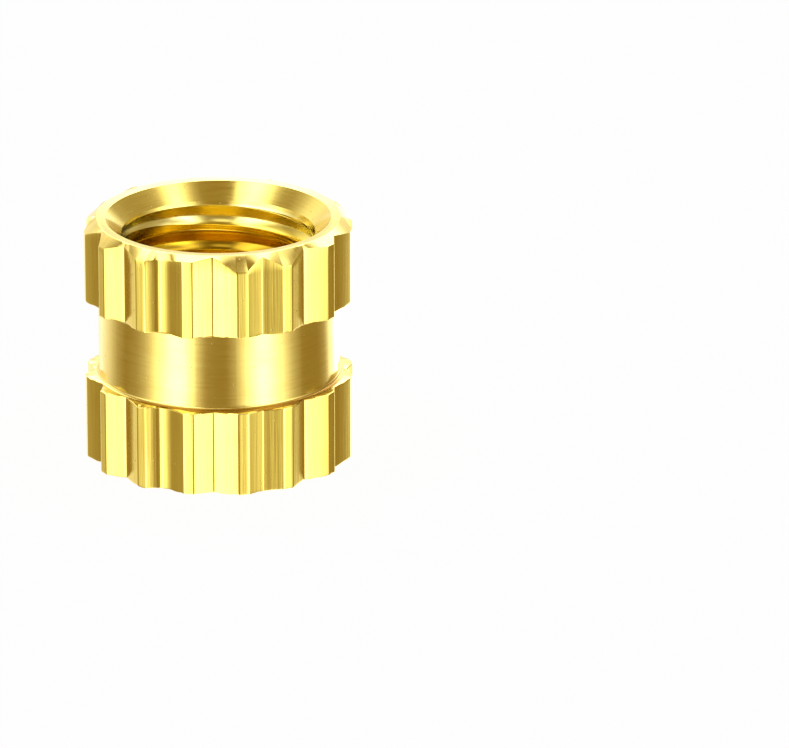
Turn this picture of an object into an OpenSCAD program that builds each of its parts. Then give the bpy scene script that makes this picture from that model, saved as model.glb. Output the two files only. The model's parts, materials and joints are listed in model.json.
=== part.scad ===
// Knurled brass insert with a tapped through bore, for moulding or pressing into plastic.
// The body is turned from straight-knurled bar, so the teeth of both bands line up.
// Origin: centre of the lower end face. +Z runs along the bore to the bevelled lead-in end.

/* [Body] */
// Overall length
body_l = 9.2; // [8:0.1:16]
// Diameter over the tooth crests
body_d = 10; // [7:0.1:13]
// Wall from the bottom of the thread's grooves out to the tooth crests
wall = 1; // [0.9:0.05:2]

/* [Knurl] */
// Number of teeth around each band
tooth_count = 16; // [12:1:24]
// Radial depth of the gap between two teeth
tooth_depth = 0.28; // [0.15:0.01:0.4]
// Width of the land left on each tooth crest
crest_w = 0.38; // [0.1:0.02:0.5]
// Width of the flat at the bottom of each gap
root_w = 0.12; // [0.04:0.02:0.3]

/* [Retention groove] */
// Length of the knurled band below the groove
lower_band_l = 3.2; // [2:0.1:4]
// Width of the groove
groove_w = 2.9; // [1:0.1:4]
// Depth of the groove below the tooth crests
groove_depth = 0.52; // [0.3:0.02:0.7]
// Corner radius left by the grooving tool
groove_corner_r = 0.12; // [0.05:0.01:0.2]

/* [Thread] */
// Pitch of the metric thread
thread_pitch = 1; // [0.5:0.25:1.25]

/* [Ends] */
// How far the countersinks open past the bottom of the thread's grooves, on the radius
countersink_margin = 0.2; // [0.05:0.05:0.3]
// Included angle of the countersinks
countersink_angle = 90; // [60:5:120]
// Axial length of the lead-in bevel on the upper teeth
bevel_l = 0.4; // [0.2:0.05:0.8]
// Radial width of the lead-in bevel
bevel_w = 0.3; // [0.1:0.05:0.4]

/* [Hidden] */

body_r = body_d / 2;
groove_r = body_r - groove_depth;

// The bore is drilled to the tapping size, which is where the thread's crests end
thread_d = body_d - 2 * wall;
bore_r = (thread_d - thread_pitch) / 2;
mouth_r = thread_d / 2 + countersink_margin;
countersink_l = (mouth_r - bore_r) / tan(countersink_angle / 2);

// Half of a tooth's crest land, and the angle from a gap's centre to the land's edge
crest_half_angle = asin(crest_w / body_d);
land_edge_angle = 180 / tooth_count - crest_half_angle;

overrun = 1; // how far a cutter reaches past the metal
round_fn = 96;

// Half section of the blank: lower end, outside with its lead-in bevel, upper end and centreline
module blank_section() {
    polygon([
        [0, 0],
        [body_r, 0],
        [body_r, body_l - bevel_l],
        [body_r - bevel_w, body_l],
        [0, body_l]
    ]);
}

// Half section of the drilled bore with a countersink at each end
module bore_section() {
    polygon([
        [0, -overrun],
        [mouth_r + overrun * tan(countersink_angle / 2), -overrun],
        [bore_r, countersink_l],
        [bore_r, body_l - countersink_l],
        [mouth_r + overrun * tan(countersink_angle / 2), body_l + overrun],
        [0, body_l + overrun]
    ]);
}

// Section of the grooving tool: a square nose with rounded corners
module groove_section() {
    translate([groove_r, lower_band_l]) {
        translate([groove_corner_r, 0])
            square([groove_depth + overrun, groove_w]);
        translate([0, groove_corner_r])
            square([groove_depth, groove_w - 2 * groove_corner_r]);
        for (y = [groove_corner_r, groove_w - groove_corner_r])
            translate([groove_corner_r, y])
                circle(r = groove_corner_r, $fn = 32);
    }
}

// One gap of the knurl, centred on +X: straight flanks from the root flat to just past the
// lands' edges, and open from there outwards
module gap_section() {
    root = [body_r - tooth_depth, root_w / 2];
    land_edge = body_r * [cos(land_edge_angle), sin(land_edge_angle)];
    past_land = root + (land_edge - root) * 1.2;
    clear = past_land * (1 + overrun / body_r);
    polygon([
        [root[0], -root[1]],
        [past_land[0], -past_land[1]],
        [clear[0], -clear[1]],
        clear,
        past_land,
        root
    ]);
}

// All the gaps, run through from end to end as on knurled bar; a crest lies on +X
module knurl_gaps() {
    for (i = [0 : tooth_count - 1])
        rotate((i + 0.5) * 360 / tooth_count)
            translate([0, 0, -overrun])
                linear_extrude(body_l + 2 * overrun)
                    gap_section();
}

module insert() {
    color("#d9a93a")
        difference() {
            rotate_extrude($fn = round_fn) blank_section();
            knurl_gaps();
            rotate_extrude($fn = round_fn) groove_section();
            rotate_extrude($fn = round_fn) bore_section();
        }
}

insert();
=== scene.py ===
# Knurled brass insert, standing on its lower end, with its thread cut and its faces finished
import bpy
import json
import math
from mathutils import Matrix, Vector


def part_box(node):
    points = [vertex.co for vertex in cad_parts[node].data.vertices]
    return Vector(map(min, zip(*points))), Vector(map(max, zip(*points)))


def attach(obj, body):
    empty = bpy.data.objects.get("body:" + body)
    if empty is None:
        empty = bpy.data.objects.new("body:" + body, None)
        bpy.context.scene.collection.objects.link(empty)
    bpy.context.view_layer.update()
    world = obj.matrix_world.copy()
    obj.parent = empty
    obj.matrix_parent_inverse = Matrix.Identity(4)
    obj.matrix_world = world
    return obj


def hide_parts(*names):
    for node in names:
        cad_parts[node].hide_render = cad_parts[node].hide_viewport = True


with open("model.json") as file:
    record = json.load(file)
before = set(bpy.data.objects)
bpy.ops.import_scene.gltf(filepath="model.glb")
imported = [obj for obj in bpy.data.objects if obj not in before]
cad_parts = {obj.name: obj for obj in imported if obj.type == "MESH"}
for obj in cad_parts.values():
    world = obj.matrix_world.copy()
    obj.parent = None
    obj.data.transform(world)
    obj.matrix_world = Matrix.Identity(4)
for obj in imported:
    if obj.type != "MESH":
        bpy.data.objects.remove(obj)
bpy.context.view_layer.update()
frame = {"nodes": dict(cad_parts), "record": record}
print("frame loaded:", ", ".join(frame["nodes"]))

mm = 0.001  # sizes below are written in millimetres
scene = bpy.context.scene
scene.view_settings.view_transform = "Standard"


class Wire:
    # what flows out of a node: a sum or a comparison on it becomes a Math node
    def __init__(self, socket):
        self.socket = socket
        self.tree = socket.id_data

    def __add__(self, other):
        return calc("ADD", self, other)

    def __sub__(self, other):
        return calc("SUBTRACT", self, other)

    def __rsub__(self, other):
        return calc("SUBTRACT", other, self)

    def __mul__(self, other):
        return calc("MULTIPLY", self, other)

    def __rmul__(self, other):
        return calc("MULTIPLY", other, self)

    def __truediv__(self, other):
        return calc("DIVIDE", self, other)

    def __rtruediv__(self, other):
        return calc("DIVIDE", other, self)

    def __lt__(self, other):
        return calc("LESS_THAN", self, other)

    def __gt__(self, other):
        return calc("GREATER_THAN", self, other)


def addNode(tree, kind, plugs=None, **settings):
    # plugs are wires or plain values for its inputs
    node = tree.nodes.new(kind)
    node.location = (190 * len(tree.nodes), 0)  # in a row, in the order in which they are made
    for name, value in settings.items():
        setattr(node, name, value)
    for name, value in (plugs or {}).items():
        if isinstance(value, Wire):
            tree.links.new(value.socket, node.inputs[name])
        else:
            node.inputs[name].default_value = value
    return node


def wireFrom(tree, kind, plugs=None, output=0, **settings):
    return Wire(addNode(tree, kind, plugs, **settings).outputs[output])


def calc(operation, *values):
    tree = next(value.tree for value in values if isinstance(value, Wire))
    return wireFrom(tree, "ShaderNodeMath", dict(enumerate(values)), operation=operation)


def clamped(value):
    # keeps a sum between 0 and 1
    value.socket.node.use_clamp = True
    return value


def vecCalc(operation, *values, output="Vector"):
    return wireFrom(values[0].tree, "ShaderNodeVectorMath", dict(enumerate(values)), output,
                    operation=operation)


def scaled(vector, factor):
    return wireFrom(vector.tree, "ShaderNodeVectorMath", {0: vector, "Scale": factor},
                    operation="SCALE")


def lengthOf(vector):
    return vecCalc("LENGTH", vector, output="Value")


def combine(tree, x=0, y=0, z=0):
    return wireFrom(tree, "ShaderNodeCombineXYZ", {"X": x, "Y": y, "Z": z})


def split(vector):
    node = addNode(vector.tree, "ShaderNodeSeparateXYZ", {0: vector})
    return [Wire(socket) for socket in node.outputs]


def mix(factor, first, second):
    return wireFrom(factor.tree, "ShaderNodeMix", {0: factor, 2: first, 3: second})


def ramp(value, start, end, low=0.0, high=1.0, **settings):
    # goes from low to high while the value goes from start to end
    return wireFrom(value.tree, "ShaderNodeMapRange", {
        "Value": value, "From Min": start, "From Max": end, "To Min": low, "To Max": high},
        **settings)


def noise(vector, detail=2.0, roughness=0.5, seed=None):
    # smooth noise from 0 to 1 over lengths of about 1
    plugs = {"Vector": vector, "Scale": 1.0, "Detail": detail, "Roughness": roughness}
    if seed is None:
        return wireFrom(vector.tree, "ShaderNodeTexNoise", plugs)
    plugs["W"] = seed
    return wireFrom(vector.tree, "ShaderNodeTexNoise", plugs, noise_dimensions="4D")


def greyRamp(value, stops):
    # stops: (place, grey)
    node = addNode(value.tree, "ShaderNodeValToRGB", {"Fac": value})
    points = node.color_ramp.elements
    while len(points) < len(stops):
        points.new(0.5)
    for point, (place, grey) in zip(points, stops):
        point.position = place
        point.color = (grey, grey, grey, 1)
    return Wire(node.outputs[0])


def mixColour(factor, first, second):
    first, second = (tint if isinstance(tint, Wire) else (*tint, 1) for tint in (first, second))
    return wireFrom(factor.tree, "ShaderNodeMix", {0: factor, 6: first, 7: second}, 2,
                    data_type="RGBA")


def geometryTree(name, inputs):
    # inputs lists the names of its sockets by their kind, and geometry goes in and comes out
    tree = bpy.data.node_groups.new(name, "GeometryNodeTree")
    for way in ("INPUT", "OUTPUT"):
        tree.interface.new_socket("Geometry", in_out=way, socket_type="NodeSocketGeometry")
    for kind, labels in inputs.items():
        for label in labels:
            tree.interface.new_socket(label, in_out="INPUT", socket_type="NodeSocket" + kind)
    sockets = addNode(tree, "NodeGroupInput").outputs
    return tree, {socket.name: Wire(socket) for socket in sockets}


def endTree(geometry, material):
    # plain mesh with its material on it, because instances don't survive an export
    tree = geometry.tree
    real = wireFrom(tree, "GeometryNodeRealizeInstances", {"Geometry": geometry})
    painted = wireFrom(tree, "GeometryNodeSetMaterial", {"Geometry": real, "Material": material})
    addNode(tree, "NodeGroupOutput", {0: painted})


def addTree(target, tree, values):
    # puts the tree on the object and sets its inputs by the sockets' identifiers
    modifier = target.modifiers.new(tree.name, "NODES")
    modifier.node_group = tree
    for item in tree.interface.items_tree:
        if item.name in values:
            modifier[item.identifier] = values[item.name]


def storeNamed(geometry, label, value, kind="FLOAT"):
    return wireFrom(geometry.tree, "GeometryNodeStoreNamedAttribute",
                    {"Geometry": geometry, "Name": label, "Value": value}, data_type=kind)


def readNamed(tree, label, kind="FLOAT"):
    return wireFrom(tree, "GeometryNodeInputNamedAttribute", {"Name": label}, data_type=kind)


def placeOf(tree):
    return wireFrom(tree, "GeometryNodeInputPosition")


def addObject(name, data):
    piece = bpy.data.objects.new(name, data)
    scene.collection.objects.link(piece)
    return piece


def toPlainMesh(piece):
    # the evaluated result becomes the object's own mesh, and its modifiers go
    depsgraph = bpy.context.evaluated_depsgraph_get()
    mesh = bpy.data.meshes.new_from_object(piece.evaluated_get(depsgraph),
                                           preserve_all_data_layers=True, depsgraph=depsgraph)
    piece.modifiers.clear()
    piece.data = mesh
    mesh.name = piece.name
    return piece


# the sleeve: a half section is swept round the toothed ring, and a tap then cuts the thread

nodeLow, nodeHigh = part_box("insert")
mounts = {mount["name"]: mount for mount in frame["record"]["mounts"]}
boreRadius = mounts["thread"]["dims"]["r_mm"] * mm

sleeve = {
    "length": nodeHigh.z - nodeLow.z,
    "crestRadius": (nodeHigh.x - nodeLow.x) / 2,
    "toothCount": 16,
    "toothDepth": 0.28 * mm,
    "crestWidth": 0.38 * mm,
    "rootWidth": 0.035 * mm,
    "lowerBand": 3.2 * mm,
    "grooveWidth": 2.9 * mm,
    "grooveDepth": 0.52 * mm,
    "grooveCorner": 0.12 * mm,
    "bevelLength": 0.4 * mm,
    "bevelWidth": 0.46 * mm,
    "bevelGap": 0.02 * mm,  # the bevel's lower edge stays this far below the upper face
    "faceDish": 0.024 * mm,  # the upper face was turned slightly hollow
    "mouthRadius": 4.2 * mm,
    "mouthEase": 0.09 * mm,  # the countersink eases into the bore by this much
    "mouthRun": 0.22 * mm,  # over this height
    "edgeBreak": 0.035 * mm,  # radius of the broken outer edges
    "bevelBreak": (0.4, 0.5, 0.6),  # shares of it that the bevel's two edges are broken by
    "crestBreak": 0.015 * mm,  # flat left along a tooth's two corners
    "cornerStrip": 0.02 * mm,  # narrow faces beside a corner, which keep its shading tight
    "edgeZone": 0.12 * mm,  # how far from an edge the nicks in it reach
    "nickDepth": 0.06 * mm,
    "nickSpacing": 0.45 * mm,
    "nickStart": 0.45,  # the noise at which a nick starts
    "nickGrowth": 4,  # how fast it deepens above that
    "streakDepth": 0.016 * mm,  # lines that the knurling tool left down the teeth
    "streakSpacing": 0.16 * mm,
    "seed": 3.0,
    # the teeth weren't quite even: degrees that each crest and each gap lies off its place, each
    # gap's share of the tooth depth, the share of its flanks that its rounded floor takes, and
    # how far down the bevel reaches at both (mm)
    "crestShift": [-1.4, -0.7, 0.6, 0.2, -0.5, 0.8, -0.3, 0.5,
                   -2.5, -1.4, 0.8, 0.2, 1.1, -1, 2.2, 3],
    "gapShift": [-0.5, 0.8, -0.3, 0.4, 0.9, -0.8, 0.3, 0.6,
                 0, -1.1, -1.8, -0.6, -0.8, -0.6, -1.5, 0.4],
    "gapShare": [1.05, 0.85, 1.1, 0.95, 1.2, 0.9, 1.0, 1.1,
                 1.4, 1.36, 1.42, 1.1, 0.76, 1.3, 0.9, 1],
    "gapRound": [0, 0.3, 0, 0.2, 0, 0, 0.4, 0,
                 0, 0, 0.34, 0, 0, 0, 0, 0],
    "crestBevel": [0.38, 0.3, 0.45, 0.36, 0.27, 0.42, 0.33, 0.4,
                   0.45, 0.37, 0.34, 0.15, 0.54, 0.51, 0.25, 0.34],
    "gapBevel": [0.05, 0.12, 0.04, 0.2, 0.08, 0.04, 0.15, 0.05,
                 0.1, 0.16, 0.29, 0.04, 0.1, 0.16, 0.12, 0.1],
    # how finely each stretch is cut up
    "cornerSteps": 8,
    "edgeSteps": 4,
    "wallSteps": 3,
    "rootSteps": 2,
    "crestSteps": 3,
    "flankSteps": 7,
    "mergeGap": 0.002 * mm,
}
sink = sleeve["mouthRadius"] - boreRadius  # depth of the countersinks, which are at 45 degrees
grooveRadius = sleeve["crestRadius"] - sleeve["grooveDepth"]

thread = {
    "pitch": 1.0 * mm,
    # the tap's tooth as (depth, height) in mm: its upper flank, its root, and its lower flank,
    # which eases over the crest
    "section": [(-0.012, 0.3), (0.012, 0.235), (0.05, 0.19), (0.22, 0.095), (0.43, -0.006),
                (0.43, -0.04), (0.34, -0.12), (0.255, -0.195), (0.18, -0.265), (0.12, -0.335),
                (0.07, -0.4), (0.035, -0.46), (0.01, -0.53), (-0.012, -0.62)],
    "tapReach": 0.2 * mm,  # how far inside the bore's wall the tap's path lies
    "turnSteps": 160,
    "startAngle": 8,  # degrees
    "fadeLength": 1.0 * mm,  # how far below the upper face the groove starts to run out
    "fadeEnd": 0.45 * mm,  # and where its path has drawn in by the whole depth below
    "fadeDepth": 0.58 * mm,
    "boreZone": sleeve["mouthRadius"] - 0.05 * mm,  # edges nearer the axis than this
    "sharpAngle": 14,  # that bend by more degrees than this stay sharp
    "roundedAngle": 26,  # further out the broken edges shade as round
}


def row(radius, height, follow=0, rise=0, nick=0):
    # a point of the half section: follow 1 runs along the teeth, rise 1 marks the bevel's lower
    # edge, whose height changes round the ring, and nick moves an edge up or down
    return {"place": (radius, 0, height), "follow": follow, "rise": rise, "nick": nick}


def arcRows(middleX, middleZ, fromAngle, toAngle, sizes):
    # a rounded corner of the groove's floor, ends included
    radius, steps = sizes["grooveCorner"], sizes["cornerSteps"]
    rows = []
    for step in range(steps + 1):
        angle = math.radians(fromAngle + (toAngle - fromAngle) * step / steps)
        rows.append(row(middleX + radius * math.cos(angle), middleZ + radius * math.sin(angle)))
    return rows


def brokenEdge(height, inwards, sizes):
    # rows over a rounded outer edge, from its flat face to the wall, where inwards is 1 if the
    # wall lies above the face and -1 if it lies below
    radius, size, steps = sizes["crestRadius"], sizes["edgeBreak"], sizes["edgeSteps"]
    rows = []
    for step in range(steps + 1):
        angle = math.radians(90 * step / steps)
        rows.append(row(radius - size * (1 - math.sin(angle)),
                        height + inwards * size * (1 - math.cos(angle)), follow=1, nick=inwards))
    return rows


def wallRows(bottom, top, sizes):
    # plain rows up a toothed wall
    steps = sizes["wallSteps"]
    return [row(sizes["crestRadius"], bottom + (top - bottom) * step / steps, follow=1)
            for step in range(steps + 1)]


def sectionRows(sizes):
    # from the lower countersink outwards, up the two bands and back in at the upper one
    length, crest, mouth = sizes["length"], sizes["crestRadius"], sizes["mouthRadius"]
    corner, zone, edge = sizes["grooveCorner"], sizes["edgeZone"], sizes["edgeBreak"]
    dish, ease, run = sizes["faceDish"], sizes["mouthEase"], sizes["mouthRun"]
    low = sizes["lowerBand"]
    high = low + sizes["grooveWidth"]
    bevelStart = length - sizes["bevelLength"]
    bevelEnd = crest - sizes["bevelWidth"]
    small, medium, large = (edge * share for share in sizes["bevelBreak"])
    rows = [row(mouth, 0), row(crest - zone, 0, follow=1)]
    rows += brokenEdge(0, 1, sizes)
    rows += wallRows(zone, low - zone, sizes)
    rows += reversed(brokenEdge(low, -1, sizes))
    rows.append(row(crest - zone, low, follow=1))
    rows += arcRows(grooveRadius + corner, low + corner, 270, 180, sizes)
    rows += arcRows(grooveRadius + corner, high - corner, 180, 90, sizes)
    rows.append(row(crest - zone, high, follow=1))
    rows += brokenEdge(high, 1, sizes)
    rows += wallRows(high + zone, bevelStart - 2 * zone, sizes)
    rows += [
        row(crest, bevelStart - edge, follow=1, rise=1),
        row(crest - small, bevelStart + medium, follow=1, rise=1),
        row(bevelEnd + medium, length - large),
        row(bevelEnd - large, length),
        row(mouth - dish, length - dish),
        row(boreRadius + ease, length - sink + ease),
        row(boreRadius, length - sink + ease - run),
        row(boreRadius, sink - ease + run),
        row(boreRadius + ease, sink - ease),
    ]
    return rows


def tapRows(tap):
    # the tap's tooth with the part of its body that stays inside the bore
    reach, points = tap["tapReach"], tap["section"]
    rows = [row(0, -points[-1][1] * mm), row(0, -points[0][1] * mm)]
    rows += [row(reach + depth * mm, -height * mm) for depth, height in points]
    return rows


def sectionObject(name, rows):
    # the half section as a closed outline, with what its rows say kept on the points
    mesh = bpy.data.meshes.new(name)
    count = len(rows)
    edges = [(k, (k + 1) % count) for k in range(count)]
    mesh.from_pydata([point["place"] for point in rows], edges, [])
    for label in ("follow", "rise", "nick"):
        layer = mesh.attributes.new(label, "FLOAT", "POINT")
        layer.data.foreach_set("value", [float(point[label]) for point in rows])
    return addObject(name, mesh)


def polarPoint(radius, angle):
    return combine(angle.tree, radius * calc("COSINE", angle), radius * calc("SINE", angle))


def spanCurve(start, end, steps):
    # a straight stretch of the tooth outline, cut into steps
    line = wireFrom(start.tree, "GeometryNodeCurvePrimitiveLine", {"Start": start, "End": end})
    return wireFrom(start.tree, "GeometryNodeResampleCurve", {"Curve": line, "Count": steps + 1})


def pickFrom(index, values):
    # the value that belongs to an index, where a quarter more keeps 2.99 from counting as 2
    node = addNode(index.tree, "GeometryNodeIndexSwitch", {"Index": index + 0.25},
                   data_type="FLOAT")
    while len(node.index_switch_items) < len(values):
        node.index_switch_items.new()
    for place, value in enumerate(values):
        node.inputs[place + 1].default_value = value
    return Wire(node.outputs[0])


def unevenTeeth(ring, plug, pitch, sizes):
    # moves each crest and gap off its place and keeps how far down the bevel reaches there
    here = placeOf(ring.tree)
    x, y, _ = split(here)
    angle = calc("ARCTAN2", y, x)
    depth = plug["Crest Radius"] - lengthOf(here)
    share = clamped(depth / plug["Tooth Depth"])
    place = angle / pitch
    crest, gap = (calc("FLOORED_MODULO", calc(step, place), plug["Teeth"])
                  for step in ("ROUND", "FLOOR"))

    def between(crestList, gapList):
        return mix(share, pickFrom(crest, sizes[crestList]), pickFrom(gap, sizes[gapList]))

    edged = storeNamed(ring, "bevelReach", between("crestBevel", "gapBevel") * mm)
    turned = angle + calc("RADIANS", between("crestShift", "gapShift"))
    # a rounded floor is a parabola that leaves the flank smoothly and is level at the root
    rounded = pickFrom(gap, sizes["gapRound"])
    onFloor = clamped((share + (rounded - 1)) / rounded)
    filled = onFloor * onFloor * (rounded * (plug["Tooth Depth"] * 0.5))
    radius = plug["Crest Radius"] - (depth - filled) * pickFrom(gap, sizes["gapShare"])
    return wireFrom(ring.tree, "GeometryNodeSetPosition",
                    {"Geometry": edged, "Position": polarPoint(radius, turned)})


def toothParts(plug, pitch, sizes):
    # the stretches of one tooth centred on +X, and of the root beside it
    crest, depth, strip = plug["Crest Radius"], plug["Tooth Depth"], plug["Corner Strip"]
    rootRadius = crest - depth
    halfPitch = pitch * 0.5
    halfCrest = plug["Crest Width"] / (crest * 2)
    halfRoot = plug["Root Width"] / (rootRadius * 2)
    rootAngle = halfPitch - halfRoot
    cornerAngle = plug["Crest Break"] / crest
    landAngle = halfCrest - cornerAngle
    innerLand = landAngle - strip / crest
    # the flank starts past the broken corner, at the same share of its run and its depth
    share = cornerAngle / (rootAngle - halfCrest)
    flankAngle = halfCrest + cornerAngle
    flankRadius = crest - share * depth
    parts = [
        spanCurve(polarPoint(rootRadius, rootAngle), polarPoint(rootRadius, halfPitch + halfRoot),
                  sizes["rootSteps"]),
        spanCurve(polarPoint(crest, innerLand * -1), polarPoint(crest, innerLand),
                  sizes["crestSteps"])]
    corners = ((crest, innerLand), (crest, landAngle), (flankRadius, flankAngle),
               (rootRadius, rootAngle))
    for side in (1, -1):
        land, corner, flankTop, root = (polarPoint(radius, angle * side)
                                        for radius, angle in corners)
        along = scaled(vecCalc("NORMALIZE", vecCalc("SUBTRACT", root, flankTop)), strip)
        upper, lower = vecCalc("ADD", flankTop, along), vecCalc("SUBTRACT", root, along)
        stops = [land, corner, flankTop, upper, lower, root]
        for start, end in zip(stops, stops[1:]):
            parts.append(spanCurve(start, end, sizes["flankSteps"] if start is upper else 1))
    return parts


def toothRing(tree, plug, sizes):
    # the tooth repeated all round the axis, then made uneven
    pitch = 2 * math.pi / plug["Teeth"]
    tooth = addNode(tree, "GeometryNodeJoinGeometry")
    for part in toothParts(plug, pitch, sizes):
        tree.links.new(part.socket, tooth.inputs[0])
    hub = wireFrom(tree, "GeometryNodeMeshLine", {"Count": plug["Teeth"], "Offset": (0, 0, 0)})
    turn = wireFrom(tree, "GeometryNodeInputIndex") * pitch
    teeth = wireFrom(tree, "GeometryNodeInstanceOnPoints", {
        "Points": hub, "Instance": Wire(tooth.outputs[0]), "Rotation": combine(tree, z=turn)})
    real = wireFrom(tree, "GeometryNodeRealizeInstances", {"Geometry": teeth})
    outline = wireFrom(tree, "GeometryNodeCurveToMesh", {"Curve": real})
    closed = wireFrom(tree, "GeometryNodeMergeByDistance",
                      {"Geometry": outline, "Distance": sizes["mergeGap"]})
    uneven = unevenTeeth(closed, plug, pitch, sizes)
    # the knurling tool's own scratches, as small dips along the ring
    here = placeOf(tree)
    dip = plug["Streak Depth"] * noise(scaled(here, 1 / plug["Streak Spacing"]), seed=plug["Seed"])
    return wireFrom(tree, "GeometryNodeSetPosition", {
        "Geometry": uneven, "Offset": scaled(vecCalc("NORMALIZE", here), dip * -1)})


def toothedSleeveTree(sizes):
    tree, plug = geometryTree("toothedSleeve", {
        "Int": ["Teeth"],
        "Float": ["Crest Radius", "Tooth Depth", "Crest Width", "Crest Break", "Root Width",
                  "Corner Strip", "Length", "Nick Depth", "Nick Spacing", "Bevel Length",
                  "Streak Depth", "Streak Spacing", "Seed"],
        "Material": ["Material"]})
    # ring and half section both keep their places from before the sweep
    ring = storeNamed(toothRing(tree, plug, sizes), "outline", placeOf(tree), "FLOAT_VECTOR")
    section = storeNamed(plug["Geometry"], "section", placeOf(tree), "FLOAT_VECTOR")
    path, profile = (wireFrom(tree, "GeometryNodeMeshToCurve", {"Mesh": mesh})
                     for mesh in (ring, section))
    swept = wireFrom(tree, "GeometryNodeCurveToMesh", {"Curve": path, "Profile Curve": profile})
    ringAt = readNamed(tree, "outline", "FLOAT_VECTOR")
    sectionX, _, sectionZ = split(readNamed(tree, "section", "FLOAT_VECTOR"))
    follow, rise, nick = (readNamed(tree, label) for label in ("follow", "rise", "nick"))
    wall = lengthOf(ringAt)  # the outline's radius here
    depth = plug["Crest Radius"] - wall  # how far below the crests
    radius = calc("MINIMUM", wall, sectionX - follow * depth)
    # nicks differ from edge to edge, so the noise is read at another place for each
    edgeSeed = plug["Seed"] + calc("ROUND", sectionZ / mm)
    ripple = noise(scaled(ringAt, 1 / plug["Nick Spacing"]), seed=edgeSeed)
    bite = clamped((ripple - sizes["nickStart"]) * sizes["nickGrowth"])
    nicked = nick * bite * plug["Nick Depth"]
    onBevel = rise > 0
    lifted = onBevel * (plug["Bevel Length"] - readNamed(tree, "bevelReach"))
    ceiling = plug["Length"] - onBevel * sizes["bevelGap"]
    height = calc("MINIMUM", ceiling, sectionZ + (lifted + nicked))
    flat = vecCalc("MULTIPLY", vecCalc("NORMALIZE", ringAt), combine(tree, radius, radius))
    placed = wireFrom(tree, "GeometryNodeSetPosition", {
        "Geometry": swept, "Position": vecCalc("ADD", flat, combine(tree, z=height))})
    endTree(placed, plug["Material"])
    return tree


def tapPath(tree, plug):
    # one turn more than the bore at each end
    pitch, inner = plug["Pitch"], plug["Path Radius"]
    turns = plug["Length"] / pitch + 2
    spiral = wireFrom(tree, "GeometryNodeCurveSpiral", {
        "Resolution": plug["Steps"], "Rotations": turns, "Start Radius": inner,
        "End Radius": inner, "Height": turns * pitch, "Reverse": True})
    moved = wireFrom(tree, "GeometryNodeTransform", {
        "Geometry": spiral, "Translation": combine(tree, z=pitch * -1),
        "Rotation": combine(tree, z=plug["Start Angle"])})
    # the tap stopped short of the upper end, so its path draws in towards the axis there
    here = placeOf(tree)
    left = plug["Length"] - split(here)[2]
    fade = ramp(left, plug["Fade Length"], plug["Fade End"], 1.0,
                1.0 - plug["Fade Depth"] / inner, interpolation_type="SMOOTHSTEP")
    drawnIn = wireFrom(tree, "GeometryNodeSetPosition", {
        "Geometry": moved,
        "Position": vecCalc("MULTIPLY", here, combine(tree, fade, fade, 1.0))})
    return wireFrom(tree, "GeometryNodeSetCurveNormal", {"Curve": drawnIn}, mode="Z_UP")


def creased(geometry, plug):
    # smooth faces that break only at real edges
    tree = geometry.tree
    smooth = wireFrom(tree, "GeometryNodeSetShadeSmooth",
                      {"Geometry": geometry, "Shade Smooth": True}, domain="FACE")
    bend = wireFrom(tree, "GeometryNodeInputMeshEdgeAngle")
    across = vecCalc("MULTIPLY", placeOf(tree), (1, 1, 0))
    inBore = lengthOf(across) < plug["Bore Zone"]
    limit = plug["Rounded Angle"] + inBore * (plug["Sharp Angle"] - plug["Rounded Angle"])
    return wireFrom(tree, "GeometryNodeSetShadeSmooth",
                    {"Geometry": smooth, "Shade Smooth": 1 - (bend > limit)}, domain="EDGE")


def threadTree():
    tree, plug = geometryTree("cutThread", {
        "Object": ["Tap Section"],
        "Float": ["Pitch", "Path Radius", "Length", "Start Angle", "Fade Length", "Fade End",
                  "Fade Depth", "Bore Zone", "Sharp Angle", "Rounded Angle"],
        "Int": ["Steps"],
        "Material": ["Material"]})
    section = wireFrom(tree, "GeometryNodeObjectInfo", {"Object": plug["Tap Section"]},
                       "Geometry")
    profile = wireFrom(tree, "GeometryNodeMeshToCurve", {"Mesh": section})
    flatProfile = wireFrom(tree, "GeometryNodeTransform", {
        "Geometry": profile, "Rotation": (math.radians(-90), 0, 0)})
    tap = wireFrom(tree, "GeometryNodeCurveToMesh", {
        "Curve": tapPath(tree, plug), "Profile Curve": flatProfile, "Fill Caps": True})
    cut = wireFrom(tree, "GeometryNodeMeshBoolean", {"Mesh 1": plug["Geometry"], "Mesh 2": tap},
                   operation="DIFFERENCE", solver="MANIFOLD")
    endTree(creased(cut, plug), plug["Material"])
    return tree


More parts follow.
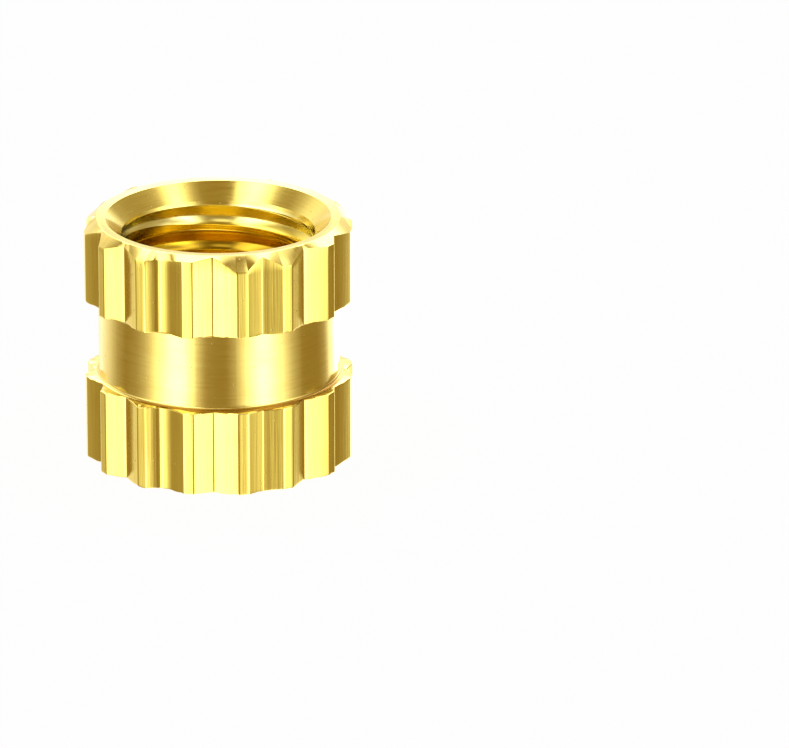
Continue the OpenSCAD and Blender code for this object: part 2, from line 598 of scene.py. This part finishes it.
brassFinish = {
    "bright": (0.89, 0.73, 0.21),
    "lemon": (0.89, 0.73, 0.155),  # the knurl, and a share of it inside the mouths
    "mouthLemon": 0.5,
    "warm": (0.78, 0.55, 0.12),
    # painted light and shade down the thread: a pale band near the mouth as painted highlight,
    # then amber and dark bands deeper in as painted shade, each with the depths at which it starts
    # and holds in full
    "depths": [
        ((0.94, 0.85, 0.33), 0.71 * mm, 0.76 * mm),
        ((0.9, 0.71, 0.13), 1.25 * mm, 1.5 * mm),
        ((0.78, 0.55, 0.03), 1.6 * mm, 1.8 * mm),
        ((0.45, 0.28, 0.02), 2.2 * mm, 2.3 * mm),
        ((0.72, 0.48, 0.03), 2.6 * mm, 2.75 * mm),
    ],
    "stain": (0.34, 0.22, 0.07),
    # the brown of the painted shade in the groove's lower corner
    "cornerShadeBrown": (0.36, 0.2, 0.03),
    "threadReach": boreRadius + 0.55 * mm,  # the thread lies within this radius
    "threadStart": sink + 0.05 * mm,  # and at least this far from either end
    "bandRadius": grooveRadius + 0.18 * mm,  # walls further out than this are knurled
    "wallLean": 0.35,  # a wall's normal points up or down by less than this
    "turnedLines": 12,  # turning marks to each millimetre of height
    "turnedSlant": 0.7,  # share of that to each millimetre of radius
    "turnedRun": 3,  # how often a mark changes round the axis
    "turnedNoise": (3.0, 0.65),  # detail and roughness of the noise
    "turnedDepth": 0.0019 * mm,
    "tappedDepth": 0.0005 * mm,  # the same marks in the thread
    "knurlLines": (11, 11, 0.25),  # lines to the millimetre, drawn out along the teeth
    "knurlNoise": (3.0, 0.6),
    "knurlDepth": 0.0034 * mm,
    "toneStops": [(0.30, 0.55), (0.52, 0.0)],  # how far the marks' noise turns the brass warm
    "toneShare": 0.55,
    "mottleLines": 0.9,  # broad patches
    "mottleStops": [(0.45, 0.0), (0.7, 1.0)],
    "mottleShare": 0.3,
    "pitSpacing": 0.35 * mm,
    "pitStops": [(0.05, 1.0), (0.11, 0.0)],
    "pitDepth": 0.0012 * mm,
    "pitStain": 0.5,  # share of stain in a pit, of which the thread has none
    "roughness": 0.13,
    "tappedRoughness": 0.14,  # in the thread
    "grainRoughness": 0.16,  # how much the marks change it, up and down
    "roughening": {"mottle": 0.05, "pitStain": 0.4, "cornerShade": 0.25},  # what else adds to it
    "cornerShade": 0.95,  # share of painted shade, a brown line, in the groove's lower corner
    "cornerShadeReach": 0.07 * mm,  # how far above and below the corner it ends
    "cornerShadeFull": 0.03 * mm,  # and how near it is full
    "cornerShadeInner": grooveRadius - 0.18 * mm,  # radii between which it lies
    "cornerShadeOuter": grooveRadius + 0.21 * mm,
    "cornerShadeSpread": 0.15 * mm,  # how much further out it reaches where it is thickest
    "cornerShadeSide": (0.117, -0.993),  # the side (x, y) on which it lies
    "cornerShadeTurn": (0.35, 0.6),  # cosines off that side between which it comes up
    "cornerShadeThick": (0.83, 0.88),  # and between which it thickens
}


def brassZones(tree, finish):
    # where a point of the surface lies, in millimetres, and which finish it has there
    place = scaled(wireFrom(tree, "ShaderNodeTexCoord", output="Object"), 1 / mm)
    x, y, z = split(place)
    across = combine(tree, x, y)
    radius = lengthOf(across)
    fromEnd = calc("MINIMUM", z, sleeve["length"] / mm - z)
    normal = wireFrom(tree, "ShaderNodeNewGeometry", output="True Normal")
    isWall = calc("ABSOLUTE", split(normal)[2]) < finish["wallLean"]
    inThread = radius < finish["threadReach"] / mm
    return {
        "place": place,
        "height": z,
        "radius": radius,
        "around": vecCalc("NORMALIZE", across),
        "fromEnd": fromEnd,
        "knurled": (radius > finish["bandRadius"] / mm) * isWall,
        "inMouth": radius < sleeve["mouthRadius"] / mm,
        "inThread": inThread,
        "tapped": inThread * (fromEnd > finish["threadStart"] / mm),
    }


def grooveCornerShade(zones, finish):
    # painted shade: a brown line darkens the corner where the groove's wall meets the lower band,
    # thickest on the front side
    radius, outer = zones["radius"], finish["cornerShadeOuter"] / mm
    offCorner = calc("ABSOLUTE", zones["height"] - sleeve["lowerBand"] / mm)
    corner = ramp(offCorner, finish["cornerShadeReach"] / mm, finish["cornerShadeFull"] / mm)
    side = (*finish["cornerShadeSide"], 0)
    facing = vecCalc("DOT_PRODUCT", zones["around"], side, output="Value")
    reach = ramp(facing, *finish["cornerShadeThick"], outer, outer + finish["cornerShadeSpread"] / mm)
    inGroove = (radius > finish["cornerShadeInner"] / mm) * (radius < reach)
    return corner * inGroove * (ramp(facing, *finish["cornerShadeTurn"]) * finish["cornerShade"])


def brassMarks(zones, finish):
    # turning marks run round the axis, the knurl's lines run along the teeth, and patches, pits
    # and the painted shade in the groove's lower corner lie over them
    place, around = zones["place"], split(zones["around"])
    run, slant = finish["turnedRun"], finish["turnedSlant"]
    upwards = (zones["height"] + zones["radius"] * slant) * finish["turnedLines"]
    turnedAt = combine(place.tree, around[0] * run, around[1] * run, upwards)
    turned = noise(turnedAt, *finish["turnedNoise"])
    drawn = noise(vecCalc("MULTIPLY", place, finish["knurlLines"]), *finish["knurlNoise"])
    pits = wireFrom(place.tree, "ShaderNodeTexVoronoi", {
        "Vector": place, "Scale": mm / finish["pitSpacing"], "Randomness": 1.0}, "Distance")
    pit = greyRamp(pits, finish["pitStops"])
    return {
        "turned": turned,
        "drawn": drawn,
        "grain": mix(zones["knurled"], turned, drawn),
        "mottle": noise(scaled(place, finish["mottleLines"])),
        "pit": pit,
        "pitStain": pit * (finish["pitStain"] - zones["tapped"] * finish["pitStain"]),
        "cornerShade": grooveCornerShade(zones, finish),
    }


def brassColour(zones, marks, finish):
    lemon = zones["knurled"] + zones["inMouth"] * finish["mouthLemon"]
    colour = mixColour(lemon, finish["bright"], finish["lemon"])
    tone = greyRamp(marks["grain"], finish["toneStops"]) * finish["toneShare"]
    patches = greyRamp(marks["mottle"], finish["mottleStops"]) * finish["mottleShare"]
    # the warm tone, patches and pit stains are the brass's own colour, while the corner's brown is
    # painted shade
    for share, tint in ((tone, "warm"), (patches, "warm"), (marks["pitStain"], "stain"),
                        (marks["cornerShade"], "cornerShadeBrown")):
        colour = mixColour(share, colour, finish[tint])
    # painted highlight and shade down the thread, band by band
    for tint, start, full in finish["depths"]:
        reached = ramp(zones["fromEnd"], start / mm, full / mm)
        colour = mixColour(zones["inThread"] * reached, colour, tint)
    return colour


def brassRoughness(zones, marks, finish):
    rough = mix(zones["tapped"], finish["roughness"], finish["tappedRoughness"])
    rough += (marks["grain"] - 0.5) * finish["grainRoughness"]
    for mark, share in finish["roughening"].items():
        rough += marks[mark] * share
    return rough


def brassRelief(zones, marks, finish):
    turned = marks["turned"] * mix(zones["tapped"], finish["turnedDepth"], finish["tappedDepth"])
    drawn = marks["drawn"] * finish["knurlDepth"]
    relief = mix(zones["knurled"], turned, drawn) - marks["pit"] * finish["pitDepth"]
    return wireFrom(relief.tree, "ShaderNodeBump", {
        "Height": relief, "Strength": 1.0, "Distance": 1.0})


def brassMaterial(finish):
    material = bpy.data.materials.new("brass")
    material.use_nodes = True
    tree = material.node_tree
    shader = tree.nodes["Principled BSDF"]
    zones = brassZones(tree, finish)
    marks = brassMarks(zones, finish)
    for label, work in (("Base Color", brassColour), ("Roughness", brassRoughness),
                        ("Normal", brassRelief)):
        tree.links.new(work(zones, marks, finish).socket, shader.inputs[label])
    shader.inputs["Metallic"].default_value = 1
    return material


brass = brassMaterial(brassFinish)
print("brass mixed")

blank = sectionObject("insertBody", sectionRows(sleeve))
addTree(blank, toothedSleeveTree(sleeve), {
    "Teeth": sleeve["toothCount"],
    "Crest Radius": sleeve["crestRadius"],
    "Tooth Depth": sleeve["toothDepth"],
    "Crest Width": sleeve["crestWidth"],
    "Crest Break": sleeve["crestBreak"],
    "Root Width": sleeve["rootWidth"],
    "Corner Strip": sleeve["cornerStrip"],
    "Length": sleeve["length"],
    "Nick Depth": sleeve["nickDepth"],
    "Nick Spacing": sleeve["nickSpacing"],
    "Bevel Length": sleeve["bevelLength"],
    "Streak Depth": sleeve["streakDepth"],
    "Streak Spacing": sleeve["streakSpacing"],
    "Seed": sleeve["seed"],
    "Material": brass,
})
tapSection = sectionObject("tapSection", tapRows(thread))
addTree(blank, threadTree(), {
    "Tap Section": tapSection,
    "Pitch": thread["pitch"],
    "Path Radius": boreRadius - thread["tapReach"],
    "Length": sleeve["length"],
    "Start Angle": math.radians(thread["startAngle"]),
    "Fade Length": thread["fadeLength"],
    "Fade End": thread["fadeEnd"],
    "Fade Depth": thread["fadeDepth"],
    "Bore Zone": thread["boreZone"],
    "Sharp Angle": math.radians(thread["sharpAngle"]),
    "Rounded Angle": math.radians(thread["roundedAngle"]),
    "Steps": thread["turnSteps"],
    "Material": brass,
})
evenShade = blank.modifiers.new("evenShade", "WEIGHTED_NORMAL")
evenShade.keep_sharp = True
body = toPlainMesh(blank)
bpy.data.objects.remove(tapSection)
print("sleeve swept and thread cut:", len(body.data.polygons), "faces")
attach(body, "root")
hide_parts("insert")


studio = {
    "panelLight": 3.5,  # radiance at the middle of the soft panels that the metal mirrors
    "gapLight": (0.35, 0.245, 0.088),  # what it mirrors between them
    # shares of the panel light: angles run from the camera's side (0) to its right, in degrees
    "below": [(-180, 0.2), (-150, 0.33), (-128, 0.19), (-114, 0.06), (-100, 0.0), (-84, 0.035),
              (-72, 0.13), (-62, 0.36), (-54, 0.6), (-46, 0.95), (-35, 1.0), (-28, 0.6),
              (-20, 0.16), (-12, 0.02), (8, 0.0), (17, 0.08), (25, 0.31), (33, 0.62), (41, 1.0),
              (48, 0.95), (57, 0.56), (66, 0.3), (76, 0.1), (88, 0.0), (112, 0.0), (124, 0.05),
              (137, 0.46), (150, 0.92), (168, 0.72), (180, 0.2)],
    "above": [(-180, 0.26), (-165, 0.26), (-150, 0.2), (-140, 0.3), (-127, 0.45), (-113, 0.36),
              (-101, 0.16), (-84, 0.3), (-62, 0.8), (-30, 0.9), (-20, 0.12), (-12, 0.0),
              (26, 0.0), (32, 0.08), (38, 0.4), (44, 0.9), (66, 0.7), (84, 0.2), (104, 0.02),
              (118, 0.0), (135, 0.03), (150, 0.08), (165, 0.2), (180, 0.26)],
    # overhead the same shares run from the left (-1) to the right (1)
    "crown": [(-1.0, 0.1), (-0.72, 0.1), (-0.66, 0.15), (-0.56, 0.5), (-0.48, 0.88),
              (-0.42, 1.0), (-0.3, 0.7), (-0.22, 0.55), (-0.19, 0.0), (0.22, 0.0), (0.3, 0.06),
              (0.38, 0.25), (0.46, 0.75), (0.52, 0.85), (0.6, 0.52), (0.66, 0.2), (0.72, 0.1),
              (0.8, 0.22), (1.0, 0.25)],
    "crownBehind": 0.3,  # share of the overhead list that holds behind the insert
    "crownTurn": (0.06, -0.08),  # depths (y) of the direction between which that changes
    "belowHeight": -0.2,  # heights (z) of the direction at which each list holds in full
    "aboveHeight": 0.3,
    "crownHeight": 0.68,
    # one panel overhead and behind and a small one high in front: its share, half its width,
    # and the depths and heights between which it comes up
    "panels": [
        {"share": 1.25, "halfWidth": 0.48, "depths": (-0.22, 0.35), "heights": (0.26, 0.5)},
        {"share": 0.3, "halfWidth": 0.16, "depths": (-0.5, -0.6), "heights": (0.58, 0.66)},
    ],
    "panelEdge": 0.06,  # half the width of their soft side edges
    "roomLight": 1.0,  # the plain white behind, which lights the floor too
    "floorGlow": 0.95,  # share of plain white in what the camera sees of the floor
    "floorColor": 0.98,
    "floorReach": 600 * mm,
    "floorDrop": 0.004 * mm,  # keeps the floor just clear of the lower face
    "boreGlow": 1.5,  # how much the floor shines up the bore, and within what radius
    "boreGlowRadius": 2.6 * mm,
    "boreGlowCore": 0.5,  # share of that radius within which it shines in full
    "patchRise": 0.002 * mm,  # height of the disc of floor under the bore
    "patchSides": 48,
}

camera = {
    "azimuth": -10.3,  # degrees, where 0 looks along +Y
    "elevation": 19.9,
    "distance": 300 * mm,
    "pixelsPerMillimetre": 26.9,
    "objectColumn": 219.15,  # where the middle of the insert falls in the 789 x 748 image
    "objectRow": 332.9,
    "sensorWidth": 36,
    "clipStart": 10 * mm,
    "clipEnd": 3000 * mm,
}
imageWidth, imageHeight = 789, 748


def floorPlane(name, reach, height, sides=4):
    mesh = bpy.data.meshes.new(name)
    corners = []
    for k in range(sides):
        angle = 2 * math.pi * (k + 0.5) / sides
        corners.append((reach * math.cos(angle), reach * math.sin(angle), height))
    mesh.from_pydata(corners, [], [tuple(range(sides))])
    return addObject(name, mesh)


def floorMaterial(name, light, mirroredGlow):
    # white to the camera, with a little of the shading under the insert left in
    material = bpy.data.materials.new(name)
    material.use_nodes = True
    tree = material.node_tree
    tree.nodes.clear()
    paint, glowRadius = light["floorColor"], light["boreGlowRadius"]
    path = addNode(tree, "ShaderNodeLightPath").outputs
    isCamera, isGlossy = Wire(path["Is Camera Ray"]), Wire(path["Is Glossy Ray"])
    lit = wireFrom(tree, "ShaderNodeBsdfDiffuse", {"Color": (paint, paint, paint, 1)})
    glow = wireFrom(tree, "ShaderNodeEmission", {"Strength": 1.0})
    pale = wireFrom(tree, "ShaderNodeMixShader", {
        0: isCamera * light["floorGlow"], 1: lit, 2: glow})
    fromAxis = lengthOf(wireFrom(tree, "ShaderNodeTexCoord", output="Object"))
    spot = ramp(fromAxis, glowRadius, glowRadius * light["boreGlowCore"])
    spotGlow = wireFrom(tree, "ShaderNodeEmission", {
        "Strength": spot * (isGlossy * mirroredGlow)})
    both = wireFrom(tree, "ShaderNodeAddShader", {0: pale, 1: spotGlow})
    addNode(tree, "ShaderNodeOutputMaterial", {"Surface": both})
    return material


def mirroredShare(direction, light):
    # how much of the panel light comes from a direction: two lists round the insert, one above
    # the other, a third overhead and the panels over all of them
    x, y, z = split(direction)
    turns = calc("ARCTAN2", x, y * -1) / (2 * math.pi) + 0.5
    below, above = (greyRamp(turns, [(degrees / 360 + 0.5, share) for degrees, share in stops])
                    for stops in (light["below"], light["above"]))
    crown = greyRamp(x * 0.5 + 0.5, [(place / 2 + 0.5, share) for place, share in light["crown"]])
    overhead = crown * ramp(y, *light["crownTurn"], light["crownBehind"])
    share = mixColour(ramp(z, light["belowHeight"], light["aboveHeight"]), below, above)
    share = mixColour(ramp(z, light["aboveHeight"], light["crownHeight"]), share, overhead)
    edge = light["panelEdge"]
    for panel in light["panels"]:
        half = panel["halfWidth"]
        strength = (panel["share"] * ramp(calc("ABSOLUTE", x), half + edge, half - edge)
                    * ramp(y, *panel["depths"]) * ramp(z, *panel["heights"]))
        share = calc("MAXIMUM", share, strength)
    return share


def studioWorld(light, turn):
    # white for the camera, and soft panels with darker gaps for what the metal mirrors
    world = bpy.data.worlds.new("studio")
    world.use_nodes = True
    tree = world.node_tree
    direction = wireFrom(tree, "ShaderNodeTexCoord", output="Generated")
    turned = wireFrom(tree, "ShaderNodeVectorRotate", {"Vector": direction, "Angle": -turn},
                      rotation_type="Z_AXIS")
    panel = (light["panelLight"],) * 3
    mirrored = wireFrom(tree, "ShaderNodeBackground", {
        "Color": mixColour(mirroredShare(turned, light), light["gapLight"], panel)})
    plain = wireFrom(tree, "ShaderNodeBackground", {"Strength": light["roomLight"]})
    isGlossy = wireFrom(tree, "ShaderNodeLightPath", output="Is Glossy Ray")
    both = wireFrom(tree, "ShaderNodeMixShader", {0: isGlossy, 1: plain, 2: mirrored})
    tree.links.new(both.socket, tree.nodes["World Output"].inputs["Surface"])
    return world


floor = floorPlane("floor", studio["floorReach"], -studio["floorDrop"])
floor.data.materials.append(floorMaterial("floorPaint", studio, 0))
floor.visible_glossy = False
# the same floor under the bore, where the metal does mirror it, with a painted glow that only the
# metal's reflections see
patch = floorPlane("floorInBore", sleeve["mouthRadius"], studio["patchRise"], studio["patchSides"])
patch.data.materials.append(floorMaterial("borePaint", studio, studio["boreGlow"]))
scene.world = studioWorld(studio, math.radians(camera["azimuth"]))


def placeCamera(view):
    data = bpy.data.cameras.new("camera")
    shot = addObject("camera", data)
    azimuth, elevation = math.radians(view["azimuth"]), math.radians(view["elevation"])
    back = Vector((math.sin(azimuth) * math.cos(elevation),
                   -math.cos(azimuth) * math.cos(elevation), math.sin(elevation)))
    shot.rotation_euler = back.to_track_quat("Z", "Y").to_euler()
    right, up, _ = shot.rotation_euler.to_matrix().col
    scale = view["pixelsPerMillimetre"] / mm
    across = (view["objectColumn"] - imageWidth / 2) / scale
    down = (view["objectRow"] - imageHeight / 2) / scale
    middle = (nodeLow + nodeHigh) / 2
    shot.location = middle + back * view["distance"] - right * across + up * down
    data.sensor_width = view["sensorWidth"]
    data.lens = scale * view["distance"] * data.sensor_width / imageWidth
    data.clip_start, data.clip_end = view["clipStart"], view["clipEnd"]
    scene.camera = shot


placeCamera(camera)
print("floor, light and camera placed")
